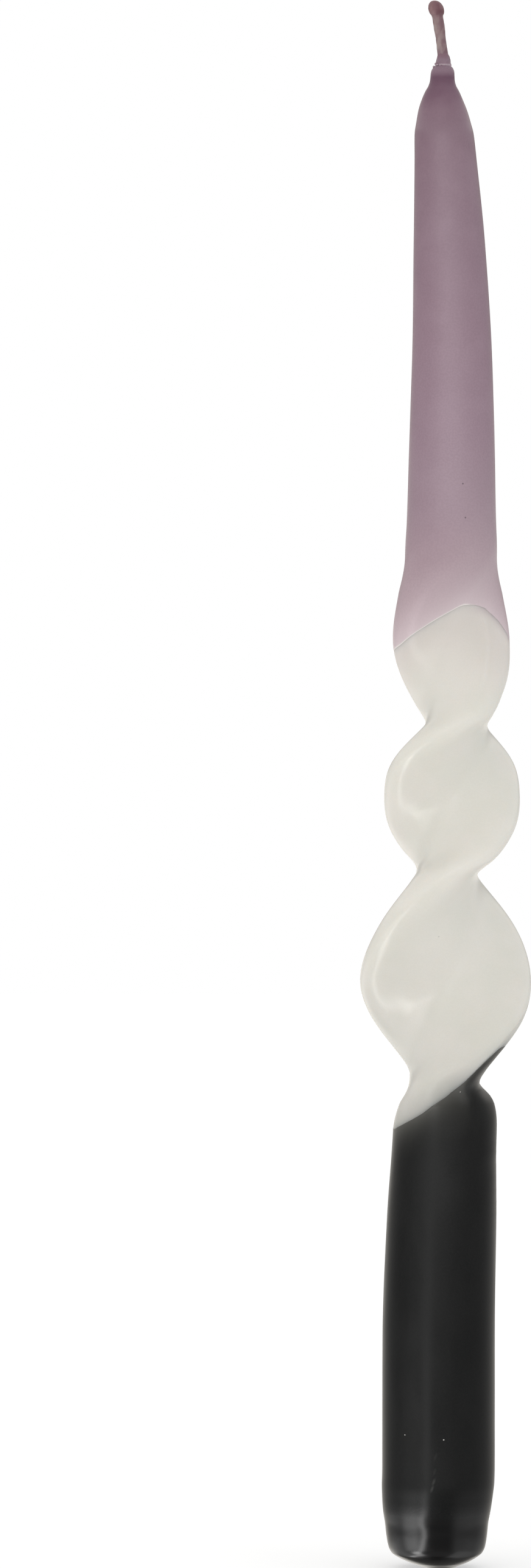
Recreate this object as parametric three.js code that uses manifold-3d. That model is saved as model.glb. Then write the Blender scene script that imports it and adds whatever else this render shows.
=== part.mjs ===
// A hand-dipped dinner candle, 306 mm tall with its wick. Its white taper was rolled flat in the
// middle and twisted into a ribbon while it was warm. The top was dipped in lilac wax, the lower
// end in black wax, and the foot once more in black. Units are millimetres, +Z is up, and the
// origin is the middle of the small flat under the foot, on the axis of the shaft.

import * as THREE from 'three';
import Module from 'manifold-3d';

// Shaft and foot
const SHAFT_DIAMETER = 22;
const FOOT_FLAT_DIAMETER = 5;
const DOME_HEIGHT = 3.2;
const FOOT_TAPER_HEIGHT = 17;
const FOOT_DIP_HEIGHT = 10.8;

// Ribbon: its first edge-on crossing and the height that each quarter turn takes, going up
const FIRST_CROSSING = 94.8;
const QUARTER_TURNS = [20.2, 21.1, 14.8, 14.3, 16.3];
const RIBBON_RUN_IN = 9;
const RIBBON_RUN_OUT = 17.5;
const RIBBON_THICKNESS = 12.1;
const WIDE_LOBE_WIDTH = 33.4;
const MIDDLE_LOBE_WIDTH = 27.2;
const UPPER_LOBE_WIDTH = 22.8;
const EDGE_SOFTNESS = 0.42;

// Taper above the ribbon, its rounded shoulder and its thin neck
const TAPER_LENGTH = 94.5;
const TAPER_RUN_IN = 5;
const TAPER_START_DIAMETER = 17.5;
const SHOULDER_DIAMETER = 12.1;
const SHOULDER_DROP = 18.1;
const NECK_DIAMETER = 4.65;
const NECK_LENGTH = 6.5;

// Dips: wall of each coat, the hairline seam between two layers and where each dip line lies
const LILAC_WALL = 0.5;
const BLACK_WALL = 0.6;
const FOOT_WALL = 0.5;
const SEAM = 0.3;
const BLACK_DIP_HEIGHT = 94.2;
const LILAC_DIP_HEIGHT = 182.6;
const RIM_REACH = 30;

// Wick and the wax on it
const WICK_DIAMETER = 1.4;
const WICK_SIDES = 8;
const COLLAR_DIAMETER = 3.4;
const COLLAR_HEIGHT = 2.2;
const WAXED_WICK_DIAMETER = 2.2;
const WAXED_WICK_LENGTH = 6.5;
const BEAD_DIAMETER = 3.1;
const BEAD_HEIGHT = 3.15;
const BEAD_SOCKET_DEPTH = 2;
const WICK_LEAN = 1.46;

// Fineness of the lofts: columns round the section, with more where the black line climbs steeply
const COLUMNS = 30;
const CLIMB_COLUMNS = [15, 18, 21];
const ROW_STEP = 3.4;
const LONG_ROW_STEP = 10;

// Heights that follow from the sizes above
const turns = [FIRST_CROSSING];
for (const rise of QUARTER_TURNS) {
  turns.push(turns[turns.length - 1] + rise);
}
const [crossing1, lobe1, crossing2, lobe2, crossing3, lobe3] = turns;
const ribbonStart = crossing1 - RIBBON_RUN_IN;
const ribbonEnd = lobe3 + RIBBON_RUN_OUT;
const tip = ribbonEnd + TAPER_LENGTH;
const coreTop = tip - NECK_LENGTH;
const taperStart = ribbonEnd + TAPER_RUN_IN;
const shoulder = tip - SHOULDER_DROP;

// A smooth curve through [position, value] stations that never overshoots between two of them
function smooth(stations) {
  const at = stations.map((station) => station[0]);
  const value = stations.map((station) => station[1]);
  const last = at.length - 1;
  const rise = (i) => (value[i + 1] - value[i]) / (at[i + 1] - at[i]);
  const slope = at.map((_, i) => {
    if (i === 0) return rise(0);
    if (i === last) return rise(last - 1);
    const before = rise(i - 1);
    const after = rise(i);
    return before * after <= 0 ? 0 : (2 * before * after) / (before + after);
  });
  return (x) => {
    let i = 0;
    while (i < last - 1 && x > at[i + 1]) i += 1;
    const span = at[i + 1] - at[i];
    const t = THREE.MathUtils.clamp((x - at[i]) / span, 0, 1);
    const fromStart = (1 + 2 * t) * (1 - t) ** 2 * value[i] + t * (1 - t) ** 2 * span * slope[i];
    const fromEnd = t * t * (3 - 2 * t) * value[i + 1] + t * t * (t - 1) * span * slope[i + 1];
    return fromStart + fromEnd;
  };
}

// Foot: a low dome, then a slight swell to the full shaft
const footStations = [
  [0, FOOT_FLAT_DIAMETER],
  [DOME_HEIGHT * 0.2, SHAFT_DIAMETER * 0.37],
  [DOME_HEIGHT * 0.44, SHAFT_DIAMETER * 0.55],
  [DOME_HEIGHT * 0.75, SHAFT_DIAMETER * 0.72],
  [DOME_HEIGHT, SHAFT_DIAMETER * 0.81],
  [DOME_HEIGHT * 1.375, SHAFT_DIAMETER * 0.86],
  [FOOT_TAPER_HEIGHT * 0.388, SHAFT_DIAMETER * 0.895],
  [FOOT_TAPER_HEIGHT * 0.53, SHAFT_DIAMETER * 0.918],
  [FOOT_TAPER_HEIGHT * 0.67, SHAFT_DIAMETER * 0.957],
  [FOOT_TAPER_HEIGHT * 0.824, SHAFT_DIAMETER * 0.982],
  [FOOT_TAPER_HEIGHT, SHAFT_DIAMETER],
];

// Long taper above the ribbon, the same in width and thickness
const taperStations = [
  [taperStart, TAPER_START_DIAMETER],
  [taperStart + TAPER_LENGTH * 0.127, TAPER_START_DIAMETER * 0.966],
  [taperStart + TAPER_LENGTH * 0.328, TAPER_START_DIAMETER * 0.9],
  [shoulder - TAPER_LENGTH * 0.176, SHOULDER_DIAMETER * 1.153],
  [shoulder, SHOULDER_DIAMETER],
  [tip - SHOULDER_DROP * 0.74, SHOULDER_DIAMETER * 0.955],
  [tip - SHOULDER_DROP * 0.608, SHOULDER_DIAMETER * 0.876],
  [tip - SHOULDER_DROP * 0.48, SHOULDER_DIAMETER * 0.785],
  [tip - NECK_LENGTH * 0.97, NECK_DIAMETER * 1.667],
  [tip - NECK_LENGTH * 0.77, NECK_DIAMETER * 1.42],
  [tip - NECK_LENGTH * 0.6, NECK_DIAMETER * 1.161],
  [tip - NECK_LENGTH * 0.446, NECK_DIAMETER * 1.043],
  [tip - NECK_LENGTH * 0.246, NECK_DIAMETER],
  [tip - NECK_LENGTH * 0.092, NECK_DIAMETER * 0.957],
  [tip, NECK_DIAMETER * 0.839],
];

const sectionWidth = smooth([
  ...footStations,
  [45, SHAFT_DIAMETER - 0.05],
  [68.5, SHAFT_DIAMETER - 0.6],
  [ribbonStart, SHAFT_DIAMETER - 1.7],
  [crossing1 - 4.3, SHAFT_DIAMETER - 1.4],
  [crossing1, 24.6],
  [crossing1 + 4.6, WIDE_LOBE_WIDTH - 2.8],
  [lobe1 - 7, WIDE_LOBE_WIDTH - 0.2],
  [lobe1, WIDE_LOBE_WIDTH],
  [lobe1 + 11, WIDE_LOBE_WIDTH - 0.2],
  [crossing2, WIDE_LOBE_WIDTH - 2],
  [crossing2 + 6.9, MIDDLE_LOBE_WIDTH + 1.1],
  [lobe2, MIDDLE_LOBE_WIDTH - 0.7],
  [crossing3 - 5.2, MIDDLE_LOBE_WIDTH + 1.3],
  [crossing3, MIDDLE_LOBE_WIDTH - 0.2],
  [crossing3 + 5.8, UPPER_LOBE_WIDTH + 0.8],
  [lobe3, UPPER_LOBE_WIDTH],
  [lobe3 + 8.5, UPPER_LOBE_WIDTH],
  [ribbonEnd - 5, UPPER_LOBE_WIDTH - 1.4],
  [ribbonEnd, TAPER_START_DIAMETER + 0.9],
  ...taperStations,
]);

const sectionThickness = smooth([
  ...footStations,
  [45, SHAFT_DIAMETER - 0.05],
  [68.5, SHAFT_DIAMETER - 0.6],
  [ribbonStart, SHAFT_DIAMETER - 1.8],
  [crossing1 - 4.3, SHAFT_DIAMETER - 3.7],
  [crossing1, RIBBON_THICKNESS + 1.6],
  [crossing1 + 4.6, RIBBON_THICKNESS],
  [crossing3, RIBBON_THICKNESS + 0.1],
  [lobe3, RIBBON_THICKNESS + 0.8],
  [lobe3 + 6.5, RIBBON_THICKNESS + 2.7],
  [ribbonEnd - 5, TAPER_START_DIAMETER - 0.5],
  [ribbonEnd, TAPER_START_DIAMETER + 0.4],
  ...taperStations,
]);

// Turn of the wide axis from +X, in degrees, counter-clockwise from above: a right-handed twist
const sectionTurn = smooth([
  [ribbonStart - 6, -155],
  [ribbonStart, -128],
  [crossing1, -90],
  [lobe1, 0],
  [crossing2, 90],
  [crossing2 + 3.6, 113.5],
  [lobe2, 180],
  [crossing3 - 3.2, 248],
  [crossing3, 270],
  [lobe3, 360],
  [ribbonEnd - 4, 425],
  [ribbonEnd + 3, 450],
]);

// A candle pulled from the bath by its wick is never quite straight: this is how far it sways in X
const sway = smooth([
  [0, 0.4],
  [DOME_HEIGHT, -0.2],
  [9, -0.25],
  [20, 0.12],
  [45, 0.15],
  [68.5, 0.75],
  [ribbonStart, 1.4],
  [crossing1 - 2.8, 1.8],
  [crossing1, 1.25],
  [crossing1 + 2.7, 1.65],
  [crossing1 + 11, 1.75],
  [lobe1, 1.5],
  [lobe1 + 9, 1.7],
  [crossing2 - 1.6, 1.5],
  [crossing2 + 2.4, 2.75],
  [lobe2, 2.75],
  [crossing3 - 1.7, 3.3],
  [crossing3 + 0.8, 3.85],
  [crossing3 + 6.8, 3.45],
  [lobe3, 2.6],
  [lobe3 + 9, 2.5],
  [taperStart, 2.65],
  [taperStart + TAPER_LENGTH * 0.328, 2.8],
  [shoulder - TAPER_LENGTH * 0.176, 2.25],
  [shoulder, 1.5],
  [tip - 11, 1.1],
  [tip - 6, 0.85],
  [tip - 1, 0.95],
  [tip + 1, 1.1],
  [tip + 3.3, 1.1 - WICK_LEAN * 0.185],
  [tip + 8, 1.1 - WICK_LEAN * 0.617],
  [tip + 11.2, 1.1 - WICK_LEAN],
  [tip + 13, 1.1 - WICK_LEAN * 1.22],
]);

// One point of the candle's skin at a height and an angle of its section. The section is a circle
// of the ribbon's thickness drawn out sideways to its width, and its flat faces turn into the
// round edges the more abruptly, the smaller EDGE_SOFTNESS is.
function skinPoint(height, angle) {
  const halfThickness = Math.min(sectionThickness(height), sectionWidth(height)) / 2;
  const drawnOut = sectionWidth(height) / 2 - halfThickness;
  const across = Math.cos(angle);
  const spread = (across * Math.hypot(1, EDGE_SOFTNESS)) / Math.hypot(across, EDGE_SOFTNESS);
  const u = halfThickness * across + drawnOut * spread;
  const v = halfThickness * Math.sin(angle);
  const turn = THREE.MathUtils.degToRad(sectionTurn(height));
  const x = sway(height) + u * Math.cos(turn) - v * Math.sin(turn);
  return new THREE.Vector3(x, u * Math.sin(turn) + v * Math.cos(turn), height);
}

// The same point, moved in under the skin by a depth
function layerPoint(height, angle, depth) {
  const step = 0.02;
  const up = skinPoint(height + step, angle).sub(skinPoint(height - step, angle));
  const round = skinPoint(height, angle + step).sub(skinPoint(height, angle - step));
  const outward = round.cross(up).normalize();
  return skinPoint(height, angle).addScaledVector(outward, -depth);
}

// The candle was held aslant over the black bath, so the black line runs low on the left, climbs
// steeply along the near edge of the ribbon and falls again round the back
const blackLine = smooth([
  [-14, -6.3],
  [-6, -4.9],
  [0, -3.2],
  [8, -1.9],
  [12, -0.7],
  [16, 1.6],
  [20, 4.1],
  [25, 6.6],
  [33, 8],
  [45, 8.4],
  [60, 8.2],
  [90, 7],
  [135, 5.2],
  [180, 3.2],
  [210, 1.2],
  [240, -1.3],
  [270, -4.8],
  [300, -7.3],
  [315, -8.1],
  [336, -7.4],
  [346, -6.3],
  [354, -4.9],
  [366, -2.2],
]);

function blackRim(angle) {
  return BLACK_DIP_HEIGHT + blackLine(THREE.MathUtils.radToDeg(angle));
}

// The lilac wax ends in an arch on each flat face; the front arch is the higher and leans over
const lilacArch = smooth([
  [-6, -1.2],
  [20, -1.2],
  [55, 0.8],
  [90, 3.4],
  [125, 0.6],
  [160, -2.7],
  [190, -4.2],
  [217, -3.2],
  [240, 0.1],
  [254, 3.2],
  [264, 5.1],
  [282, 4.4],
  [300, 2.7],
  [325, 0.5],
  [354, -1.2],
  [380, -1.2],
]);

function lilacRim(angle) {
  return LILAC_DIP_HEIGHT + lilacArch(THREE.MathUtils.radToDeg(angle));
}

// Rows of the lofts lie level on the shaft and bend over to follow a dip line close by
function rowHeight(level, angle) {
  const near = (dip) => 1 - THREE.MathUtils.smoothstep(Math.abs(level - dip), 0, RIM_REACH);
  const toBlack = (blackRim(angle) - BLACK_DIP_HEIGHT) * near(BLACK_DIP_HEIGHT);
  const toLilac = (lilacRim(angle) - LILAC_DIP_HEIGHT) * near(LILAC_DIP_HEIGHT);
  return level + toBlack + toLilac;
}

const evenColumns = Array.from({ length: COLUMNS }, (_, column) => (360 * column) / COLUMNS);
const columnAngles = [...evenColumns, ...CLIMB_COLUMNS]
  .sort((one, other) => one - other)
  .map((degrees) => THREE.MathUtils.degToRad(degrees));

function skinRing(level, depth = 0) {
  return columnAngles.map((angle) => layerPoint(rowHeight(level, angle), angle, depth));
}

// The ring one seam below the black line, which drops the further, the steeper the line climbs
function belowBlackLine(depth) {
  const step = 0.02;
  return columnAngles.map((angle) => {
    const height = blackRim(angle);
    const run = skinPoint(height, angle + step).distanceTo(skinPoint(height, angle - step));
    const climb = (blackRim(angle + step) - blackRim(angle - step)) / run;
    return layerPoint(height - SEAM * Math.hypot(1, climb), angle, depth);
  });
}

// A level ring round the wick, which hangs straight in the foot and sways with the wax above it
function wickRing(height, radius, sides = WICK_SIDES) {
  const middle = sway(Math.max(height, FOOT_TAPER_HEIGHT));
  return Array.from({ length: sides }, (_, side) => {
    const angle = (2 * Math.PI * side) / sides;
    return new THREE.Vector3(middle + radius * Math.cos(angle), radius * Math.sin(angle), height);
  });
}

// Evenly spaced levels from one height to another, both ends included
function levels(from, to, step = ROW_STEP) {
  const count = Math.max(1, Math.ceil((to - from) / step));
  return Array.from({ length: count + 1 }, (_, i) => from + ((to - from) * i) / count);
}

// Joins rings of equal count into one closed skin, with a fan over the first and the last ring.
// Outer walls are climbed from the foot up, and inner walls are followed down.
function loft(rings) {
  const sides = rings[0].length;
  const points = rings.flat();
  const middle = (ring) => {
    const sum = ring.reduce((total, point) => total.add(point), new THREE.Vector3());
    return sum.divideScalar(sides);
  };
  const first = points.push(middle(rings[0])) - 1;
  const last = points.push(middle(rings[rings.length - 1])) - 1;
  const faces = [];
  for (let side = 0; side < sides; side += 1) {
    const next = (side + 1) % sides;
    faces.push(first, next, side);
    for (let row = 0; row < rings.length - 1; row += 1) {
      const low = row * sides;
      const high = low + sides;
      const [a, b, c, d] = [low + side, low + next, high + next, high + side];
      const leansBack = points[b].distanceTo(points[d]) < points[a].distanceTo(points[c]);
      faces.push(...(leansBack ? [a, b, d, b, c, d] : [a, b, c, a, c, d]));
    }
    const top = (rings.length - 1) * sides;
    faces.push(last, top + side, top + next);
  }
  const geometry = new THREE.BufferGeometry();
  const coordinates = points.flatMap((point) => point.toArray());
  geometry.setAttribute('position', new THREE.Float32BufferAttribute(coordinates, 3));
  geometry.setIndex(faces);
  return geometry;
}

const wasm = await Module();
wasm.setup();

function toSolid(geometry) {
  const vertProperties = new Float32Array(geometry.attributes.position.array);
  const triVerts = new Uint32Array(geometry.index.array);
  return new wasm.Manifold(new wasm.Mesh({ numProp: 3, vertProperties, triVerts }));
}

function toGeometry(solid) {
  const mesh = solid.getMesh();
  const geometry = new THREE.BufferGeometry();
  const positions = new THREE.BufferAttribute(new Float32Array(mesh.vertProperties), 3);
  geometry.setAttribute('position', positions);
  geometry.setIndex(new THREE.BufferAttribute(new Uint32Array(mesh.triVerts), 1));
  return geometry;
}

// Heights of the wax on the bare wick, from the neck up
const collarBase = tip + SEAM;
const collarTop = collarBase + COLLAR_HEIGHT;
const sheathBase = collarTop + SEAM;
const sheathTop = sheathBase + WAXED_WICK_LENGTH;
const beadBase = sheathTop + SEAM;
const wickTop = beadBase + BEAD_SOCKET_DEPTH - SEAM;

// The wick runs from the bottom of the white core into the bead
const coreDepthAtFoot = FOOT_WALL + SEAM + BLACK_WALL + SEAM;
const wickBase = coreDepthAtFoot + SEAM;
const wickLevels = [
  wickBase,
  ...levels(FOOT_TAPER_HEIGHT, ribbonStart, LONG_ROW_STEP * 2),
  ...levels(crossing1 - 2.8, taperStart, LONG_ROW_STEP / 2),
  ...levels(taperStart + 12, tip - 4, LONG_ROW_STEP * 1.5),
  ...levels(tip, wickTop, ROW_STEP),
];

function makeWick() {
  return loft(wickLevels.map((height) => wickRing(height, WICK_DIAMETER / 2)));
}

// The space that the wick takes in all the wax that it passes through
const wickSpace = toSolid(
  loft([
    wickRing(wickBase - 2 * SEAM - 1, WICK_DIAMETER / 2 + SEAM),
    ...wickLevels.slice(1, -1).map((height) => wickRing(height, WICK_DIAMETER / 2 + SEAM)),
    wickRing(wickTop + SEAM, WICK_DIAMETER / 2 + SEAM),
  ]),
);

function aroundWick(geometry) {
  return toGeometry(toSolid(geometry).subtract(wickSpace));
}

// Levels of the loft rows; a coat stops one seam short of the ledge that it meets
const footCapTop = FOOT_DIP_HEIGHT - SEAM;
const footLevels = [
  ...levels(0, DOME_HEIGHT * 1.375, DOME_HEIGHT * 0.28),
  ...levels(FOOT_TAPER_HEIGHT * 0.388, footCapTop, ROW_STEP),
];
const shaftLevels = [
  ...levels(FOOT_DIP_HEIGHT, ribbonStart - 2 * RIBBON_RUN_IN, LONG_ROW_STEP).slice(1),
  ...levels(ribbonStart - 1.4 * RIBBON_RUN_IN, BLACK_DIP_HEIGHT - ROW_STEP, ROW_STEP),
];
const bareLevels = levels(BLACK_DIP_HEIGHT, LILAC_DIP_HEIGHT, ROW_STEP);
const lilacLevels = [
  ...levels(LILAC_DIP_HEIGHT + SEAM, ribbonEnd + 3, ROW_STEP),
  ...levels(taperStart + 6, shoulder, LONG_ROW_STEP),
  ...levels(shoulder + 3, coreTop - SEAM, 2.2),
];
const neckLevels = levels(coreTop, tip, 1.1);

// The white taper: full size where it is bare, and thinner by the coats where it is dipped
function makeCore() {
  const underBlack = BLACK_WALL + SEAM;
  const underLilac = LILAC_WALL + SEAM;
  const dippedBlack = [FOOT_DIP_HEIGHT, ...shaftLevels];
  const dippedLilac = [LILAC_DIP_HEIGHT, ...lilacLevels];
  return aroundWick(
    loft([
      ...[...footLevels, FOOT_DIP_HEIGHT].map((level) => skinRing(level, coreDepthAtFoot)),
      ...dippedBlack.map((level) => skinRing(level, underBlack)),
      belowBlackLine(underBlack),
      skinRing(BLACK_DIP_HEIGHT, underBlack),
      ...bareLevels.map((level) => skinRing(level)),
      ...dippedLilac.map((level) => skinRing(level, underLilac)),
    ]),
  );
}

// The lilac dip closes over the top of the core and draws out to the neck round the wick
function makeLilacCoat() {
  const inside = [...lilacLevels, coreTop];
  return aroundWick(
    loft([
      ...inside.reverse().map((level) => skinRing(level, LILAC_WALL)),
      ...lilacLevels.map((level) => skinRing(level)),
      ...neckLevels.map((level) => skinRing(level)),
    ]),
  );
}

// The black dip is a cup, and its foot is thinner by the foot dip that lies over it
function makeBlackCoat() {
  const underFoot = FOOT_WALL + SEAM;
  const inner = [footCapTop, ...shaftLevels];
  const outer = [FOOT_DIP_HEIGHT, ...shaftLevels];
  return loft([
    ...[...footLevels, FOOT_DIP_HEIGHT].map((level) => skinRing(level, underFoot)),
    ...outer.map((level) => skinRing(level)),
    belowBlackLine(0),
    belowBlackLine(BLACK_WALL),
    ...inner.reverse().map((level) => skinRing(level, BLACK_WALL)),
    ...[...footLevels].reverse().map((level) => skinRing(level, underFoot + BLACK_WALL)),
  ]);
}

// The foot dip is a shallow cup of glossy wax
function makeFootCap() {
  return loft([
    ...footLevels.map((level) => skinRing(level)),
    ...[...footLevels].reverse().map((level) => skinRing(level, FOOT_WALL)),
  ]);
}

// Wax that ran down the wick and set in a ring on the neck
function makeCollar() {
  const profile = [
    [0, COLLAR_DIAMETER],
    [0.35, COLLAR_DIAMETER],
    [0.7, COLLAR_DIAMETER - 0.35],
    [1.2, WAXED_WICK_DIAMETER + 0.5],
    [1.6, WAXED_WICK_DIAMETER + 0.2],
    [COLLAR_HEIGHT, WAXED_WICK_DIAMETER],
  ];
  const rings = profile.map(([rise, width]) => wickRing(collarBase + rise, width / 2, WICK_SIDES * 2));
  return aroundWick(loft(rings));
}

function makeSheath() {
  const heights = levels(sheathBase, sheathTop, ROW_STEP);
  const radius = WAXED_WICK_DIAMETER / 2;
  return aroundWick(loft(heights.map((height) => wickRing(height, radius, WICK_SIDES * 2))));
}

// The last drop hangs on the wick's end, which was the lowest point in the bath
function makeBead() {
  const steps = 8;
  const rings = Array.from({ length: steps }, (_, i) => {
    const angle = (Math.PI * (i + 0.6)) / (steps + 0.2);
    const height = beadBase + (BEAD_HEIGHT * (1 - Math.cos(angle))) / 2;
    return wickRing(height, (BEAD_DIAMETER / 2) * Math.sin(angle), WICK_SIDES * 2);
  });
  return aroundWick(loft(rings));
}

const wax = (color, roughness) => new THREE.MeshStandardMaterial({ color, roughness, metalness: 0 });
const whiteWax = wax(0xd8d5cc, 0.45);
const lilacWax = wax(0x98828f, 0.42);
const blackWax = wax(0x27262a, 0.4);
const glossyBlackWax = wax(0x161517, 0.18);
const waxedCotton = wax(0x8d787a, 0.6);
const cotton = new THREE.MeshStandardMaterial({ color: 0xcfc6b8, roughness: 0.95, metalness: 0 });

const candle = new THREE.Group();

function addPiece(name, geometry, material) {
  geometry.computeVertexNormals();
  const piece = new THREE.Mesh(geometry, material);
  piece.name = name;
  candle.add(piece);
}

addPiece('white_taper_core', makeCore(), whiteWax);
addPiece('lilac_dip_coat', makeLilacCoat(), lilacWax);
addPiece('black_dip_coat', makeBlackCoat(), blackWax);
addPiece('foot_dip_cap', makeFootCap(), glossyBlackWax);
addPiece('wick', makeWick(), cotton);
addPiece('wick_collar', makeCollar(), lilacWax);
addPiece('wick_wax_sheath', makeSheath(), waxedCotton);
addPiece('wick_tip_bead', makeBead(), waxedCotton);

export default candle;
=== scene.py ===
# %% [markdown]
# # A hand-dipped dinner candle
# A white taper was rolled flat in the middle and twisted into a ribbon. The top was dipped in
# lilac wax, the lower end in black wax, and the foot once more in black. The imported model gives
# the frame: every piece below is made in its own metres, with +Z up and the foot at the origin.

# %% Load the frame
import math
import bmesh
import bpy
import numpy as np
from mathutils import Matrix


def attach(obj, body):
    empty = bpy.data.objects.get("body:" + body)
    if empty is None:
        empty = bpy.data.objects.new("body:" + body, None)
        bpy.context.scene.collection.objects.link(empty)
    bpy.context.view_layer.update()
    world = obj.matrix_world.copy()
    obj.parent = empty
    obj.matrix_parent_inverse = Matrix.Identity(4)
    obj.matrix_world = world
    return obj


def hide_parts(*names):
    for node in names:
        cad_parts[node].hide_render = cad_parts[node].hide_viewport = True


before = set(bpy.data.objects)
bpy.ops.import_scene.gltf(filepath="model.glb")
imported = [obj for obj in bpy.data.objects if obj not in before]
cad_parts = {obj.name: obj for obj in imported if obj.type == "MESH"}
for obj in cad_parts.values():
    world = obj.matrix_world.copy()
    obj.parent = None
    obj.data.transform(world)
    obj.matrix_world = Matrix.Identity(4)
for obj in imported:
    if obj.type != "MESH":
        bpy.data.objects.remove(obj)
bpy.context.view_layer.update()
MM = 0.001

# %% [markdown]
# ## Sizes
# The stations say how wide and how thick the candle is, how far its section is turned and how far
# it sways to the right, each at a height above the foot. A candle like this has no drawing, so a
# short list of stations per size is the honest way to describe it: few enough to read, and close
# enough that a smooth curve through them gives the real outline.

# %% Driving sizes, in millimetres
SHAFT = 22.0
NECK = 4.65
FLAT = 12.1
WIDE_LOBE = 33.4
MIDDLE_LOBE = 27.2
UPPER_LOBE = 22.8
TAPER = 17.5
SHOULDER = 12.1
CROSSING = (94.8, 136.1, 165.2)
LOBE = (115.0, 150.9, 181.5)
RIBBON_START = CROSSING[0] - 9
RIBBON_END = LOBE[2] + 17.5
TIP = RIBBON_END + 94.5
DOME = 3.2
FOOT_TAPER = 17.0
FOOT_DIP = 10.8
WICK_LEAN = 1.46

foot = [
    (0, 5), (DOME * 0.2, SHAFT * 0.37), (DOME * 0.44, SHAFT * 0.55), (DOME * 0.75, SHAFT * 0.72),
    (DOME, SHAFT * 0.81), (DOME * 1.375, SHAFT * 0.86), (FOOT_TAPER * 0.388, SHAFT * 0.895),
    (FOOT_TAPER * 0.53, SHAFT * 0.918), (FOOT_TAPER * 0.67, SHAFT * 0.957),
    (FOOT_TAPER * 0.824, SHAFT * 0.982), (FOOT_TAPER, SHAFT),
]
taper = [
    (204.0, TAPER), (216.0, TAPER * 0.966), (235.0, TAPER * 0.9), (258.8, SHOULDER * 1.153),
    (TIP - 18.1, SHOULDER), (TIP - 13.4, SHOULDER * 0.955), (TIP - 11, SHOULDER * 0.876),
    (TIP - 8.7, SHOULDER * 0.785), (TIP - 6.3, NECK * 1.667), (TIP - 5, NECK * 1.42),
    (TIP - 3.9, NECK * 1.161), (TIP - 2.9, NECK * 1.043), (TIP - 1.6, NECK),
    (TIP - 0.6, NECK * 0.957), (TIP, NECK * 0.839),
]
width = foot + [
    (45, SHAFT - 0.05), (68.5, SHAFT - 0.6), (RIBBON_START, SHAFT - 1.7),
    (CROSSING[0] - 4.3, SHAFT - 1.4), (CROSSING[0], 24.6), (CROSSING[0] + 4.6, WIDE_LOBE - 2.8),
    (LOBE[0] - 7, WIDE_LOBE - 0.2), (LOBE[0], WIDE_LOBE), (LOBE[0] + 11, WIDE_LOBE - 0.2),
    (CROSSING[1], WIDE_LOBE - 2), (CROSSING[1] + 6.9, MIDDLE_LOBE + 1.1),
    (LOBE[1], MIDDLE_LOBE - 0.7), (CROSSING[2] - 5.2, MIDDLE_LOBE + 1.3),
    (CROSSING[2], MIDDLE_LOBE - 0.2), (CROSSING[2] + 5.8, UPPER_LOBE + 0.8),
    (LOBE[2], UPPER_LOBE), (LOBE[2] + 8.5, UPPER_LOBE), (RIBBON_END - 5, UPPER_LOBE - 1.4),
    (RIBBON_END, TAPER + 0.9),
] + taper
thickness = foot + [
    (45, SHAFT - 0.05), (68.5, SHAFT - 0.6), (RIBBON_START, SHAFT - 1.8),
    (CROSSING[0] - 4.3, SHAFT - 3.7), (CROSSING[0], FLAT + 1.6), (CROSSING[0] + 4.6, FLAT),
    (CROSSING[2], FLAT + 0.1), (LOBE[2], FLAT + 0.8), (LOBE[2] + 6.5, FLAT + 2.7),
    (RIBBON_END - 5, TAPER - 0.5), (RIBBON_END, TAPER + 0.4),
] + taper
turn = [
    (RIBBON_START - 6, -155), (RIBBON_START, -128), (CROSSING[0], -90), (LOBE[0], 0),
    (CROSSING[1], 90), (CROSSING[1] + 3.6, 113.5), (LOBE[1], 180), (CROSSING[2] - 3.2, 248),
    (CROSSING[2], 270), (LOBE[2], 360),
    (RIBBON_END - 4, 425), (RIBBON_END + 3, 450),
]
sway = [
    (0, 0.4), (DOME, -0.2), (9, -0.25), (20, 0.12), (45, 0.15), (68.5, 0.75),
    (RIBBON_START, 1.4), (CROSSING[0] - 2.8, 1.8), (CROSSING[0], 1.25), (CROSSING[0] + 2.7, 1.65),
    (CROSSING[0] + 11, 1.75), (LOBE[0], 1.5), (LOBE[0] + 9, 1.7), (CROSSING[1] - 1.6, 1.5),
    (CROSSING[1] + 2.4, 2.75), (LOBE[1], 2.75), (CROSSING[2] - 1.7, 3.3),
    (CROSSING[2] + 0.8, 3.85), (CROSSING[2] + 6.8, 3.45), (LOBE[2], 2.6), (LOBE[2] + 9, 2.5),
    (204.0, 2.65), (235.0, 2.8), (258.8, 2.25), (TIP - 18.1, 1.5), (TIP - 11, 1.1),
    (TIP - 6, 0.85), (TIP - 1, 0.95), (TIP + 1, 1.1), (TIP + 3.3, 1.1 - WICK_LEAN * 0.185),
    (TIP + 8, 1.1 - WICK_LEAN * 0.617), (TIP + 11.2, 1.1 - WICK_LEAN),
    (TIP + 13, 1.1 - WICK_LEAN * 1.22),
]
print("stations:", len(width), "wide,", len(thickness), "thick,", len(turn), "turned")


# %% A smooth curve through stations, which never overshoots between two of them
def smooth(stations):
    at, value = (np.array(column, float) for column in zip(*stations))
    span = np.diff(at)
    rise = np.diff(value) / span
    slope = np.concatenate([rise[:1], np.zeros(len(at) - 2), rise[-1:]])
    same_way = rise[:-1] * rise[1:] > 0
    total = np.where(same_way, rise[:-1] + rise[1:], 1)
    slope[1:-1] = np.where(same_way, 2 * rise[:-1] * rise[1:] / total, 0)

    def curve(x):
        i = np.clip(np.searchsorted(at, x) - 1, 0, len(span) - 1)
        t = np.clip((x - at[i]) / span[i], 0, 1)
        start = (1 + 2 * t) * (1 - t) ** 2 * value[i] + t * (1 - t) ** 2 * span[i] * slope[i]
        end = t * t * (3 - 2 * t) * value[i + 1] + t * t * (t - 1) * span[i] * slope[i + 1]
        return start + end

    return curve


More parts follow.
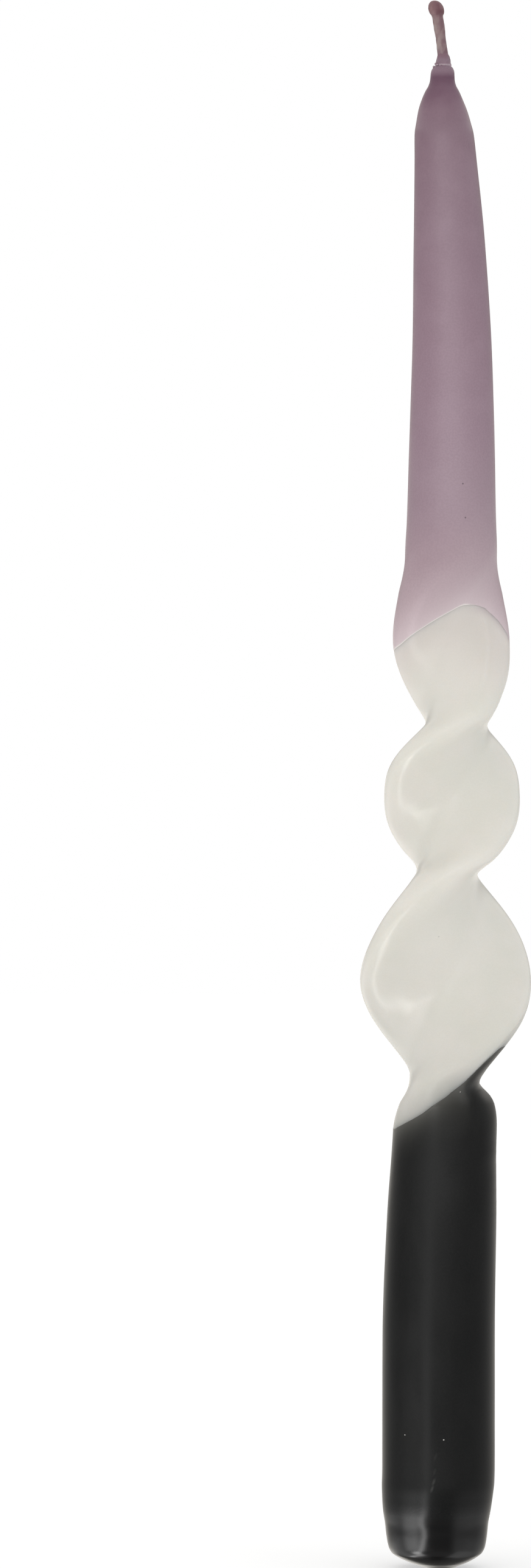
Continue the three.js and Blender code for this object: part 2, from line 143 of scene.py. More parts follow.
width_at, thickness_at, turn_at, sway_at = map(smooth, (width, thickness, turn, sway))
print("width at the middle lobe:", round(float(width_at(LOBE[1])), 2), "mm")

# %% [markdown]
# ## Dip lines
# Where a coat ends, wax left a line, and each line is a closed list of heights round the section.
# The candle was held aslant over the black bath, so the black line runs low on the left, climbs
# over the folded edge of the ribbon and falls again round the back. On the fold it turns back
# under itself, so the columns of the mesh are slanted there. The lilac line is an arch on each
# flat face.

# %% The heights of both dip lines round the section
BLACK_DIP = 94.2
LILAC_DIP = 182.6
RIM_REACH = 30.0
COLUMN_SLANT = math.radians(4.0)  # for each millimetre away from the line
black_line = smooth([
    (-25.4, -4.85), (-12.5, -3.0), (8.8, -0.8), (30.2, 1.55), (33.7, 3.05), (35.8, 4.7),
    (38.9, 6.35), (41.5, 7.25), (43.8, 7.95), (56, 8.4), (78, 8.4), (93, 8.2), (118, 7),
    (156, 5.2), (193, 3.2), (215, 1.2), (235, -1.3), (251, -4.8), (271, -7.3), (283, -8.1),
    (290, -8.2), (306, -7.45), (320, -6.35), (334.6, -4.85), (347.5, -3.0), (368.8, -0.8),
])
lilac_arch = smooth([
    (-6, -1.2), (20, -1.2), (55, 0.8), (90, 3.4), (125, 0.6), (160, -2.4), (190, -3.5),
    (217, -2.7), (240, 0.2), (254, 3.2), (264, 5.1), (282, 4.4), (300, 2.7), (325, 0.5),
    (354, -1.2), (380, -1.2),
])


def smooth_step(value, low, high):
    t = np.clip((value - low) / (high - low), 0, 1)
    return t * t * (3 - 2 * t)


def fade(distance):
    return 1 - smooth_step(np.abs(distance), 0, RIM_REACH)


def row_height(level, angle):
    turned = np.degrees(angle)
    to_black = black_line(turned) * fade(level - BLACK_DIP)
    return level + to_black + lilac_arch(turned) * fade(level - LILAC_DIP)


def slanted(angle, height):
    off = height - BLACK_DIP
    return angle - COLUMN_SLANT * off * fade(off)


four_sides = np.array([0, 90, 180, 270])
print("black line at four angles:", np.round(BLACK_DIP + black_line(four_sides), 1))

# %% [markdown]
# ## The blank
# Each wax piece starts as a blank: a tube of rings whose points only know their place on the
# candle. The sizes at that place ride along as named attributes. The twist itself is a rule, so
# Geometry Nodes applies it, and one tree shapes all the wax.

# %% Make a blank from rings of levels and depths
COLUMNS = 216
ONE_TURN = np.arange(COLUMNS) * 2 * math.pi / COLUMNS


def new_object(name, data):
    made = bpy.data.objects.new(name, data)
    bpy.context.collection.objects.link(made)
    return made


def blank(name, rows, closed=(True, True), fields=()):
    """rows are (level, depth) in mm, closed says which ends get a fan, fields are (name, rule)."""
    angle = np.tile(ONE_TURN, len(rows))
    height = np.concatenate([row_height(level, ONE_TURN) for level, _ in rows])
    depth = np.concatenate([np.broadcast_to(depth, COLUMNS) for _, depth in rows])
    level_of = np.repeat([level for level, _ in rows], COLUMNS)
    faces = []
    last_ring = (len(rows) - 1) * COLUMNS
    for low in range(0, last_ring, COLUMNS):
        for side in range(COLUMNS):
            after = (side + 1) % COLUMNS
            faces.append((low + side, low + after, low + COLUMNS + after, low + COLUMNS + side))
    values = {
        "angle": slanted(angle, height), "depth": depth * MM, "half_width": width_at(height) * MM / 2,
        "half_thickness": thickness_at(height) * MM / 2, "turn": np.radians(turn_at(height)),
        "sway": sway_at(height) * MM,
    }
    for title, rule in fields:
        values[title] = rule(level_of, angle)
    for end, first in enumerate((0, last_ring)):
        if not closed[end]:
            continue
        ring_height = float(height[first:first + COLUMNS].mean())
        pole = len(height)
        height = np.append(height, ring_height)
        for field in values:
            values[field] = np.append(values[field], 0.0)
        values["sway"][-1] = float(sway_at(ring_height)) * MM
        for side in range(COLUMNS):
            after = (side + 1) % COLUMNS
            pair = (first + after, first + side) if end == 0 else (first + side, first + after)
            faces.append((pole, *pair))
    mesh = bpy.data.meshes.new(name)
    points = np.zeros((len(height), 3))
    points[:, 2] = height * MM
    mesh.from_pydata(points, [], faces)
    for field, numbers in values.items():
        mesh.attributes.new(field, "FLOAT", "POINT").data.foreach_set("value", numbers)
    mesh.polygons.foreach_set("use_smooth", np.ones(len(faces), bool))
    return new_object(name, mesh)


def levels(start, stop, step):
    return np.linspace(start, stop, max(2, int(round(abs(stop - start) / step)) + 1))


def rings(start, stop, step, depth=0.0):
    """Rows that all lie at one depth, about a step apart."""
    return [(level, depth) for level in levels(start, stop, step)]


print("columns:", COLUMNS)

# %% [markdown]
# ## The tree that flattens, twists and sways
# The section is a circle of the ribbon's thickness drawn out sideways to its width. Softness is
# how gently the flat faces turn into the round edges. Wax rolled by hand is never even, so a
# noise moves the skin in and out by a few hundredths of a millimetre.

# %% Small helpers for node trees
def link_value(tree, socket, value):
    if isinstance(value, bpy.types.NodeSocket):
        tree.links.new(value, socket)
    else:
        socket.default_value = value


def calculate(tree, operation, *inputs):
    node = tree.nodes.new("ShaderNodeMath")
    node.operation = operation
    for socket, value in zip(node.inputs, inputs):
        link_value(tree, socket, value)
    return node.outputs[0]


def set_inputs(node, values):
    for title, value in values.items():
        node.inputs[title].default_value = value


def vector_value(tree, operation, vector, other=(0, 0, 0)):
    """The length of a vector, or its distance from or dot product with a fixed other one."""
    node = tree.nodes.new("ShaderNodeVectorMath")
    node.operation = operation
    tree.links.new(vector, node.inputs[0])
    node.inputs[1].default_value = other
    return node.outputs["Value"]


def split_xyz(tree, vector):
    node = tree.nodes.new("ShaderNodeSeparateXYZ")
    tree.links.new(vector, node.inputs[0])
    return node.outputs


def combine_xy(tree, x, y):
    node = tree.nodes.new("ShaderNodeCombineXYZ")
    tree.links.new(x, node.inputs["X"])
    tree.links.new(y, node.inputs["Y"])
    return node.outputs[0]


# %% How both geometry trees begin, move points and end
def new_tree(name, inputs):
    tree = bpy.data.node_groups.new(name, "GeometryNodeTree")
    tree.interface.new_socket("Geometry", in_out="INPUT", socket_type="NodeSocketGeometry")
    for title, kind, value in inputs:
        socket = tree.interface.new_socket(title, in_out="INPUT", socket_type="NodeSocket" + kind)
        if value is not None:
            socket.default_value = value
    tree.interface.new_socket("Geometry", in_out="OUTPUT", socket_type="NodeSocketGeometry")
    return tree, tree.nodes.new("NodeGroupInput"), tree.nodes.new("NodeGroupOutput")


def named_float(tree, name):
    node = tree.nodes.new("GeometryNodeInputNamedAttribute")
    node.data_type = "FLOAT"
    node.inputs["Name"].default_value = name
    return node.outputs["Attribute"]


def move_by(tree, geometry, offset):
    node = tree.nodes.new("GeometryNodeSetPosition")
    tree.links.new(geometry, node.inputs["Geometry"])
    tree.links.new(offset, node.inputs["Offset"])
    return node.outputs[0]


def give_material(tree, geometry, given, result):
    realize = tree.nodes.new("GeometryNodeRealizeInstances")
    paint = tree.nodes.new("GeometryNodeSetMaterial")
    tree.links.new(geometry, realize.inputs[0])
    tree.links.new(realize.outputs[0], paint.inputs["Geometry"])
    tree.links.new(given.outputs["Material"], paint.inputs["Material"])
    tree.links.new(paint.outputs[0], result.inputs[0])


# %% Build the wax tree
MIDDLE_OF_NOISE = 0.55


def build_wax_tree():
    tree, given, result = new_tree("flattened_twisted_wax", [
        ("Edge softness", "Float", 0.42), ("Unevenness", "Float", 0.06 * MM),
        ("Ripple size", "Float", 18 * MM), ("Material", "Material", None),
    ])

    def op(operation, *inputs):
        return calculate(tree, operation, *inputs)

    angle, softness = named_float(tree, "angle"), given.outputs["Edge softness"]
    thick = op("MINIMUM", named_float(tree, "half_thickness"), named_float(tree, "half_width"))
    drawn_out = op("SUBTRACT", named_float(tree, "half_width"), thick)
    radius = op("SUBTRACT", thick, named_float(tree, "depth"))
    across = op("COSINE", angle)
    squared = op("MULTIPLY", softness, softness)
    full = op("SQRT", op("ADD", squared, 1.0))
    here = op("SQRT", op("MULTIPLY_ADD", across, across, squared))
    spread = op("DIVIDE", op("MULTIPLY", across, full), here)
    u = op("MULTIPLY_ADD", drawn_out, spread, op("MULTIPLY", radius, across))
    v = op("MULTIPLY", radius, op("SINE", angle))
    twist = named_float(tree, "turn")
    cosine, sine = op("COSINE", twist), op("SINE", twist)
    x = op("SUBTRACT", op("MULTIPLY", u, cosine), op("MULTIPLY", v, sine))
    y = op("ADD", op("MULTIPLY", u, sine), op("MULTIPLY", v, cosine))
    place = combine_xy(tree, op("ADD", x, named_float(tree, "sway")), y)
    shape = move_by(tree, given.outputs["Geometry"], place)

    ripple = tree.nodes.new("ShaderNodeTexNoise")
    ripple.inputs["Detail"].default_value = 1.5
    tree.links.new(op("DIVIDE", 1.0, given.outputs["Ripple size"]), ripple.inputs["Scale"])
    off_middle = op("SUBTRACT", ripple.outputs[0], MIDDLE_OF_NOISE)
    amount = op("MULTIPLY", off_middle, given.outputs["Unevenness"])
    push = tree.nodes.new("ShaderNodeVectorMath")
    push.operation = "SCALE"
    tree.links.new(tree.nodes.new("GeometryNodeInputNormal").outputs[0], push.inputs[0])
    tree.links.new(amount, push.inputs["Scale"])
    give_material(tree, move_by(tree, shape, push.outputs[0]), given, result)
    return tree


wax_tree = build_wax_tree()
print("wax tree:", len(wax_tree.nodes), "nodes")


# %% Run a tree on a blank and keep the result as a plain mesh
def plain_mesh(piece):
    """What the modifiers of a piece make of it."""
    seen = bpy.context.evaluated_depsgraph_get()
    made = bpy.data.meshes.new_from_object(piece.evaluated_get(seen))
    piece.modifiers.clear()
    return made


def run_tree(piece, tree, material):
    modifier = piece.modifiers.new(tree.name, "NODES")
    modifier.node_group = tree
    sockets = {s.name: s.identifier for s in tree.interface.items_tree if s.in_out == "INPUT"}
    modifier[sockets["Material"]] = material
    return plain_mesh(piece)


def shape_wax(piece, material):
    made = run_tree(piece, wax_tree, material)
    old = piece.data
    piece.data = made
    bpy.data.meshes.remove(old)
    made.name = piece.name
    print(piece.name, len(made.vertices), "points")
    return piece


# %% [markdown]
# ## How the dip lines end
# The black line is crisp all round. The lilac line is crisp on one half of each flat face, where
# the wax stopped in a thin bead, and soft on the other half, where it was wiped or ran thin. So
# the softness is a wave of two periods round the section, and colours fade with it. Some colours
# near the lines are painted light: a highlight along the lilac bead, a sheen on the lilac, shade
# with a smudge of black wax in the white above the black line, and a glow in the black below it.


# %% Rules for softness, lips, fading colours and painted light
LIP_LENGTH = 0.9
TUCK_LENGTH = 0.45
TUCK = 0.014
COAT_RISE = 0.01
COAT_RISE_LENGTH = 3
# The side of the section where the painted sheen on the lilac is strongest
PAINTED_SHEEN_SIDE = math.radians(228)


def softness(angle):
    return smooth_step(-np.sin(2 * angle), -0.25, 0.45)


def lip(distance, proud):
    """Depth of the skin at a distance from the dip line: a low bead, tucked in at its end."""
    bead = np.sin(math.pi * np.clip(distance / LIP_LENGTH, 0, 1)) ** 2
    tuck = (TUCK + proud) * max(0.0, 1 - distance / TUCK_LENGTH) ** 2
    return tuck - proud * bead - COAT_RISE * (1 - distance / COAT_RISE_LENGTH)


# Lilac that pales towards its dip line, plus painted sheen: the cosine term brightens two opposite
# sides of the section and lets the paling reach further up there
def pale_lilac_and_sheen(level, angle):
    above = np.maximum(level - LILAC_DIP, 0)
    middle = 0.5 + 0.5 * np.cos(2 * (angle - PAINTED_SHEEN_SIDE))
    faded = (0.56 + 0.2 * middle) * np.exp(-above / (7.5 + 4.0 * middle))
    return faded + 0.12 * np.exp(-above / 1.5) * softness(angle)


def painted_bead_highlight(level, angle):
    """A painted highlight: the light line along the lip, where the line is crisp."""
    along = np.exp(-((level - LILAC_DIP - 0.24) / 0.22) ** 2)
    return along * (1 - softness(angle))


def lilac_in_white(level, angle):
    below = LILAC_DIP - level
    wide = 0.32 * (1 - smooth_step(below, -0.5, 16.0))
    return wide + 0.38 * (1 - smooth_step(below, -0.3, 1.6)) * softness(angle)


# Black wax smudged on the white, and painted shade: the white greys within a few millimetres above the
# black line
def black_smudge_and_shade(level, angle):
    above = np.maximum(level - BLACK_DIP, 0)
    return 0.4 * np.exp(-above / 7.0) + 0.2 * np.exp(-above / 0.8)


# Painted glow: the black is lighter within a few millimetres below its dip line
def painted_glow_in_black(level, angle):
    return np.exp(-np.maximum(BLACK_DIP - level, 0) / 3.0)


CREASE_ANGLE = 275
CREASE_SLOPE = 5.2
CREASE_WIDTH = 5.0


def crease(level, angle):
    """A faint ridge down each flat face, where the rolled edge of the taper ends."""
    below = LILAC_DIP - level
    along = smooth_step(below, -3.5, -1.0) * (1 - smooth_step(below, 6.0, 13.0))
    off = (np.degrees(angle) - CREASE_ANGLE - CREASE_SLOPE * below + 90) % 180 - 90
    return along * np.exp(-(off / CREASE_WIDTH) ** 2)


def near_foot_dip(level, angle):
    """1 on the rim of the foot cap and less below it, where the cap gets glossier."""
    return 1 - smooth_step(FOOT_DIP - level, 0.0, 2.4)


print("softness at the left, front and right:", np.round(softness(np.radians([215, 265, 320])), 2))

# %% [markdown]
# ## Wax materials
# Wax lets light in a little way, so the pale waxes have some subsurface scattering. The skin is
# satin, with a fine grain that is finer than a fingerprint, and the colour clouds a little.


# %% A node material with its shader at hand
def new_material(name):
    material = bpy.data.materials.new(name)
    material.use_nodes = True
    shader = material.node_tree.nodes["Principled BSDF"]
    return material, material.node_tree, shader


def object_position(tree):
    return tree.nodes.new("ShaderNodeTexCoord").outputs["Object"]


def own_field(tree, name):
    node = tree.nodes.new("ShaderNodeAttribute")
    node.attribute_name = name
    return node.outputs["Fac"]


def noise_at(tree, position, size, detail=2.0, roughness=0.5, stretch=1.0):
    """Noise whose spots are about size long in metres, and stretch times as long upwards."""
    squeeze = tree.nodes.new("ShaderNodeMapping")
    squeeze.inputs["Scale"].default_value = (1 / size, 1 / size, 1 / (size * stretch))
    tree.links.new(position, squeeze.inputs["Vector"])
    node = tree.nodes.new("ShaderNodeTexNoise")
    tree.links.new(squeeze.outputs[0], node.inputs["Vector"])
    set_inputs(node, {"Scale": 1.0, "Detail": detail, "Roughness": roughness})
    return node.outputs[0]


def spread_over(tree, value, low, high, to_low=0.0, to_high=1.0):
    node = tree.nodes.new("ShaderNodeMapRange")
    node.interpolation_type = "SMOOTHSTEP"
    link_value(tree, node.inputs["Value"], value)
    for socket, number in zip(list(node.inputs)[1:5], (low, high, to_low, to_high)):
        socket.default_value = number
    return node.outputs[0]


def blend_colours(tree, factor, first, second, blend="MIX"):
    node = tree.nodes.new("ShaderNodeMix")
    node.data_type = "RGBA"
    node.blend_type = blend
    link_value(tree, node.inputs[0], factor)
    for socket, colour in ((node.inputs[6], first), (node.inputs[7], second)):
        link_value(tree, socket, (*colour, 1.0) if isinstance(colour, tuple) else colour)
    return node.outputs[2]


def bump_from(tree, shader, height, depth):
    node = tree.nodes.new("ShaderNodeBump")
    node.inputs["Distance"].default_value = depth
    tree.links.new(height, node.inputs["Height"])
    tree.links.new(node.outputs[0], shader.inputs["Normal"])


def colour_value(value):
    """A screen value from 0 to 255 as the linear value that a shader takes."""
    value = value / 255
    return value / 12.92 if value <= 0.04045 else ((value + 0.055) / 1.055) ** 2.4


def rgb(red, green, blue):
    return colour_value(red), colour_value(green), colour_value(blue)


# %% Specks
def strongest(tree, values):
    total = values[0]
    for value in values[1:]:
        total = calculate(tree, "MAXIMUM", total, value)
    return total


def specks(tree, place, points, radius):
    """1 inside a small ball at any of the points, which are in millimetres."""
    spots = []
    for point in points:
        away = vector_value(tree, "DISTANCE", place, [value * MM for value in point])
        spots.append(spread_over(tree, away, radius * 0.6, radius * 1.3, 1.0, 0.0))
    return strongest(tree, spots)


# %% Colours and shine that change up the candle
def ramp_of(tree, factor, stops):
    """stops are (place from 0 to 1, colour)."""
    ramp = tree.nodes.new("ShaderNodeValToRGB")
    elements = ramp.color_ramp.elements
    while len(elements) < len(stops):
        elements.new(0.5)
    for element, (position, colour) in zip(elements, stops):
        element.position = position
        element.color = (*colour, 1.0)
    tree.links.new(factor, ramp.inputs[0])
    return ramp.outputs[0]


def colour_up(tree, place, stops):
    """stops are (height in mm, colour), from the lowest up."""
    low, high = stops[0][0], stops[-1][0]
    span = tree.nodes.new("ShaderNodeMapRange")
    tree.links.new(split_xyz(tree, place)["Z"], span.inputs["Value"])
    set_inputs(span, {"From Min": low * MM, "From Max": high * MM})
    shares = [((height - low) / (high - low), colour) for height, colour in stops]
    return ramp_of(tree, span.outputs[0], shares)


def shine_up(tree, place, shader, stops):
    """stops are (height in mm, strength of the mirrored light), from the lowest up."""
    grey = colour_up(tree, place, [(height, (shine, shine, shine)) for height, shine in stops])
    tree.links.new(grey, shader.inputs["Specular IOR Level"])


# %% White wax
def white_wax():
    material, tree, shader = new_material("white_wax")
    place = object_position(tree)
    cloud = spread_over(tree, noise_at(tree, place, 9 * MM), 0.35, 0.65)
    colour = blend_colours(tree, cloud, rgb(236, 233, 226), rgb(233, 231, 223))
    grain = noise_at(tree, place, 0.34 * MM, 1.0)
    faint = spread_over(tree, grain, 0.3, 0.7, 0.0, 0.03)
    colour = blend_colours(tree, faint, colour, rgb(150, 145, 132))
    colour = blend_colours(tree, own_field(tree, "lilac_in_white"), colour, rgb(202, 184, 185))
    # Painted shade, with a smudge of black wax, greys the white above the black line
    colour = blend_colours(tree, own_field(tree, "black_smudge_and_shade"), colour, rgb(66, 74, 80))
    dust = specks(tree, place, [(-0.1, -8.4, 123.6)], 0.15 * MM)
    colour = blend_colours(tree, calculate(tree, "MULTIPLY", dust, 0.45), colour, rgb(150, 146, 138))
    tree.links.new(colour, shader.inputs["Base Color"])
    shine_up(tree, place, shader, [(100.0, 0.12), (108.0, 0.38), (168.0, 0.38), (180.0, 0.12)])
    set_inputs(shader, {
        "Roughness": 0.2, "IOR": 1.4, "Subsurface Weight": 0.7,
        "Subsurface Radius": (1.0, 0.9, 0.8), "Subsurface Scale": 3.0 * MM,
    })
    bump_from(tree, shader, grain, 0.006 * MM)
    return material


# %% Lilac wax, deeper towards the tip
LILAC_UP_THE_TAPER = [
    (180.0, rgb(182, 158, 166)), (198.0, rgb(170, 146, 156)), (206.0, rgb(163, 139, 151)),
    (222.0, rgb(158, 132, 146)), (240.0, rgb(153, 126, 140)), (262.0, rgb(146, 119, 133)),
    (276.0, rgb(139, 111, 125)), (284.0, rgb(133, 105, 119)), (288.5, rgb(120, 91, 107)),
    (291.0, rgb(110, 81, 98)), (292.3, rgb(142, 118, 131)), (296.0, rgb(142, 118, 131)),
]
LILAC_OF_THE_COLLAR = [
    (292.9, rgb(164, 143, 154)), (293.25, rgb(174, 154, 164)), (293.55, rgb(180, 161, 170)),
    (293.85, rgb(146, 122, 134)), (294.5, rgb(144, 122, 134)), (295.2, rgb(136, 108, 120)),
    (296.0, rgb(133, 104, 112)),
]


def lilac_wax(name, stops, fades=False):
    material, tree, shader = new_material(name)
    place = object_position(tree)
    colour = colour_up(tree, place, stops)
    grain = noise_at(tree, place, 0.36 * MM, 1.0)
    speckle = spread_over(tree, grain, 0.3, 0.7, 0.0, 0.12)
    colour = blend_colours(tree, speckle, colour, rgb(112, 86, 102))
    cloud = spread_over(tree, noise_at(tree, place, 6 * MM, 3.0), 0.4, 0.75, 0.0, 0.10)
    colour = blend_colours(tree, cloud, colour, rgb(184, 160, 172))
    if fades:
        # Lilac paling near the dip line, with painted sheen on two sides of the section
        colour = blend_colours(tree, own_field(tree, "pale_lilac_and_sheen"), colour, rgb(230, 216, 219))
        # Painted highlight along the crisp part of the lilac line
        bead_highlight_mix = calculate(tree, "MULTIPLY", own_field(tree, "painted_bead_highlight"), 0.9)
        colour = blend_colours(tree, bead_highlight_mix, colour, rgb(242, 236, 232))
        marks = specks(tree, place, [(5.1, -8.4, 204.8), (4.6, -8.35, 211.4)], 0.16 * MM)
        colour = blend_colours(tree, calculate(tree, "MULTIPLY", marks, 0.7), colour, rgb(70, 55, 66))
    tree.links.new(colour, shader.inputs["Base Color"])
    shine_up(tree, place, shader, [(196.0, 0.12), (212.0, 0.7), (281.0, 0.7), (287.0, 0.15)])
    set_inputs(shader, {
        "Roughness": 0.26, "IOR": 1.52, "Subsurface Weight": 0.1,
        "Subsurface Radius": (1.0, 0.7, 0.8), "Subsurface Scale": 0.8 * MM,
    })
    bump_from(tree, shader, grain, 0.009 * MM)
    return material


# %% A pale scuff, one short stroke above the other
SCUFF = ((-1.45, 16.8, 0.34), (-1.15, 18.1, 0.3), (-0.95, 20.1, 0.1), (-0.8, 23.0, 0.1))
SCUFF_FRONT = -10.9
STROKE = (0.3 * MM, 2.0 * MM, 0.85 * MM)
STROKE_LEAN = math.radians(20)


def scuff(tree, place):
    """Each stroke of SCUFF is (x, z, strength), in mm."""
    strokes = []
    for x, z, amount in SCUFF:
        turned = tree.nodes.new("ShaderNodeMapping")
        turned.vector_type = "TEXTURE"
        middle = (x * MM, SCUFF_FRONT * MM, z * MM)
        set_inputs(turned, {"Location": middle, "Rotation": (0, STROKE_LEAN, 0), "Scale": STROKE})
        tree.links.new(place, turned.inputs["Vector"])
        away = vector_value(tree, "LENGTH", turned.outputs[0])
        strokes.append(spread_over(tree, away, 0.1, 1.3, amount, 0.0))
    return strongest(tree, strokes)


# %% Black wax, satin on the shaft
def black_wax():
    material, tree, shader = new_material("black_wax")
    place = object_position(tree)
    cloud = spread_over(tree, noise_at(tree, place, 8 * MM, 3.0), 0.3, 0.7)
    colour = blend_colours(tree, cloud, rgb(14, 14, 14), rgb(11, 12, 12))
    grain = noise_at(tree, place, 0.4 * MM)
    colour = blend_colours(tree, spread_over(tree, grain, 0.35, 0.7, 0.0, 0.4), colour, rgb(22, 22, 21))
    dust = specks(tree, place, [(-6.7, -8.7, 27), (0.8, -11, 26.3), (4.0, -10.9, 93.6)], 0.14 * MM)
    colour = blend_colours(tree, dust, colour, rgb(190, 188, 184))
    colour = blend_colours(tree, scuff(tree, place), colour, rgb(88, 88, 86))
    # Painted glow: the black turns grey just below the dip line
    glow_below_line = calculate(tree, "MULTIPLY", own_field(tree, "painted_glow_in_black"), 0.8)
    colour = blend_colours(tree, glow_below_line, colour, rgb(98, 97, 92))
    tree.links.new(colour, shader.inputs["Base Color"])
    worn = spread_over(tree, noise_at(tree, place, 5 * MM, 3.0, stretch=2.5), 0.3, 0.7, 0.28, 0.34)
    near_foot = spread_over(tree, split_xyz(tree, place)["Z"], 10.5 * MM, 15.0 * MM, 0.8, 1.0)
    tree.links.new(calculate(tree, "MULTIPLY", worn, near_foot), shader.inputs["Roughness"])
    shine_up(tree, place, shader, [(11.0, 0.76), (13.6, 0.5)])
    shader.inputs["IOR"].default_value = 1.4
    bump_from(tree, shader, grain, 0.008 * MM)
    return material


# %% Glossy black wax of the foot
def glossy_black_wax():
    material, tree, shader = new_material("glossy_black_wax")
    place = object_position(tree)
    cloud = spread_over(tree, noise_at(tree, place, 5 * MM), 0.3, 0.7)
    colour = blend_colours(tree, cloud, rgb(11, 10, 10), rgb(8, 8, 8))
    tree.links.new(colour, shader.inputs["Base Color"])
    fading = own_field(tree, "near_foot_dip")
    smudge = spread_over(tree, noise_at(tree, place, 3 * MM, 3.0), 0.35, 0.75, 0.19, 0.22)
    tree.links.new(calculate(tree, "MULTIPLY_ADD", fading, 0.04, smudge), shader.inputs["Roughness"])
    shine_up(tree, place, shader, [(4.0, 0.5), (9.0, 0.49)])
    shader.inputs["IOR"].default_value = 1.52
    bump_from(tree, shader, noise_at(tree, place, 2.6 * MM), 0.02 * MM)
    return material


# %% Wax-soaked wick and bare cotton
def waxed_cotton():
    material, tree, shader = new_material("waxed_cotton")
    place = object_position(tree)
    streak = spread_over(tree, noise_at(tree, place, 1.1 * MM, stretch=1.6), 0.36, 0.66)
    at = split_xyz(tree, place)
    lean = calculate(tree, "MULTIPLY_ADD", at["Z"], 0.14, at["X"])
    right = spread_over(tree, lean, 41.6 * MM, 43.2 * MM, 1.0, 0.0)
    streak = calculate(tree, "MULTIPLY_ADD", streak, 0.5, calculate(tree, "MULTIPLY", right, 0.5))
    colour = blend_colours(tree, streak, rgb(124, 93, 101), rgb(158, 140, 138))
    heights = [(295.6, rgb(238, 228, 240)), (297.2, rgb(255, 255, 255)), (302.6, rgb(250, 246, 246)),
               (303.6, rgb(222, 194, 200)), (306.2, rgb(236, 210, 216))]
    colour = blend_colours(tree, 1.0, colour, colour_up(tree, place, heights), "MULTIPLY")
    tree.links.new(colour, shader.inputs["Base Color"])
    set_inputs(shader, {"Roughness": 0.5, "Subsurface Weight": 0.1, "Subsurface Scale": 0.4 * MM})
    bump_from(tree, shader, noise_at(tree, place, 0.3 * MM), 0.03 * MM)
    return material


def bare_cotton():
    material, tree, shader = new_material("cotton_wick")
    place = object_position(tree)
    fibre = spread_over(tree, noise_at(tree, place, 0.12 * MM, 3.0, 0.6, stretch=6.0), 0.3, 0.7)
    tree.links.new(blend_colours(tree, fibre, rgb(206, 199, 184), rgb(232, 227, 215)),
                   shader.inputs["Base Color"])
    shader.inputs["Roughness"].default_value = 0.85
    bump_from(tree, shader, fibre, 0.02 * MM)
    return material


white = white_wax()
lilac = lilac_wax("lilac_wax", LILAC_UP_THE_TAPER, fades=True)
collar_lilac = lilac_wax("lilac_wax_of_the_collar", LILAC_OF_THE_COLLAR)
black = black_wax()
glossy_black = glossy_black_wax()
waxed = waxed_cotton()
cotton = bare_cotton()
print("materials:", len(bpy.data.materials))

# %% [markdown]
# ## The white taper
# The core runs through the whole candle. Where it is bare it has the full size, and under a coat
# it is thinner, so that each coat lies in the skin and its edge shows as a fine line only.

# %% White core
UNDER_COAT = 0.9
UNDER_FOOT_CAP = UNDER_COAT + 0.6
CREASE_RISE = 0.2


def make_core():
    """The white taper, bare between the dip lines and thinner under the coats."""
    rows = rings(1.4, FOOT_DIP, 1.6, UNDER_FOOT_CAP)
    rows += rings(FOOT_DIP + 1, BLACK_DIP - 8, 2.5, UNDER_COAT)
    rows += rings(BLACK_DIP - 7, BLACK_DIP - 1.4, 1.0, UNDER_COAT)
    rows += [(BLACK_DIP - 1.0, 0.5), (BLACK_DIP - 0.7, 0.12), (BLACK_DIP - 0.45, 0.0)]
    bare = levels(BLACK_DIP - 0.2, LILAC_DIP + 0.2, 0.55)
    rows += [(level, -CREASE_RISE * crease(level, ONE_TURN)) for level in bare]
    rows += [(LILAC_DIP + 0.45, 0.0), (LILAC_DIP + 0.7, 0.12), (LILAC_DIP + 1.0, 0.5)]
    rows += rings(LILAC_DIP + 1.4, RIBBON_END, 1.0, UNDER_COAT)
    rows += rings(RIBBON_END + 2, TIP - 7, 3.0, UNDER_COAT)
    colours = [("lilac_in_white", lilac_in_white), ("black_smudge_and_shade", black_smudge_and_shade)]
    return shape_wax(blank("white_taper", rows, fields=colours), white)


core = make_core()

# %% [markdown]
# ## The coats
# A coat is thin, so it is made as a skin and given its wall by Solidify. Its edge swells into a
# low bead and then tucks into the wax below, so no gap shows along the dip line.


# %% Give a skin its wall
def add_wall(piece, wall):
    solid = piece.modifiers.new("wall", "SOLIDIFY")
    solid.thickness = wall
    solid.offset = -1
    solid.use_even_offset = True
    made = plain_mesh(piece)
    made.set_sharp_from_angle(angle=math.radians(50))
    piece.data = made
    print(piece.name, "with a wall of", round(wall / MM, 2), "mm,", len(made.polygons), "faces")
    return piece


# %% Lilac coat
COAT_WALL = 0.5 * MM
LILAC_PROUD = 0.016
ROUND_TIP = 1.5
LIP_STEPS = (0, 0.05, 0.1, 0.15, 0.22, 0.3, 0.4, 0.5, 0.6, 0.7, 0.8, 0.9, 1.1, 1.4)


def make_lilac_coat():
    proud = LILAC_PROUD * (1 - softness(ONE_TURN))
    rows = [(LILAC_DIP + step, lip(step, proud)) for step in LIP_STEPS]
    rows += rings(LILAC_DIP + 1.9, RIBBON_END + 6, 0.7)
    rows += rings(RIBBON_END + 7.5, TIP - 16, 1.8)
    rows += rings(TIP - 15.4, TIP - 1.6, 0.35)
    for level in levels(TIP - 1.4, TIP, 0.2):
        rows.append((level, 0.5 * ((level - TIP + ROUND_TIP) / ROUND_TIP) ** 2))
    colours = [("pale_lilac_and_sheen", pale_lilac_and_sheen), ("painted_bead_highlight", painted_bead_highlight)]
    coat = blank("lilac_coat", rows, closed=(False, True), fields=colours)
    return add_wall(shape_wax(coat, lilac), COAT_WALL)


lilac_coat = make_lilac_coat()


# %% Black coat and the glossy cap of the foot
BLACK_PROUD = 0.015
UNDER_CAP = 0.45
CAP_PROUD = 0.02
CAP_WALL = 0.35 * MM


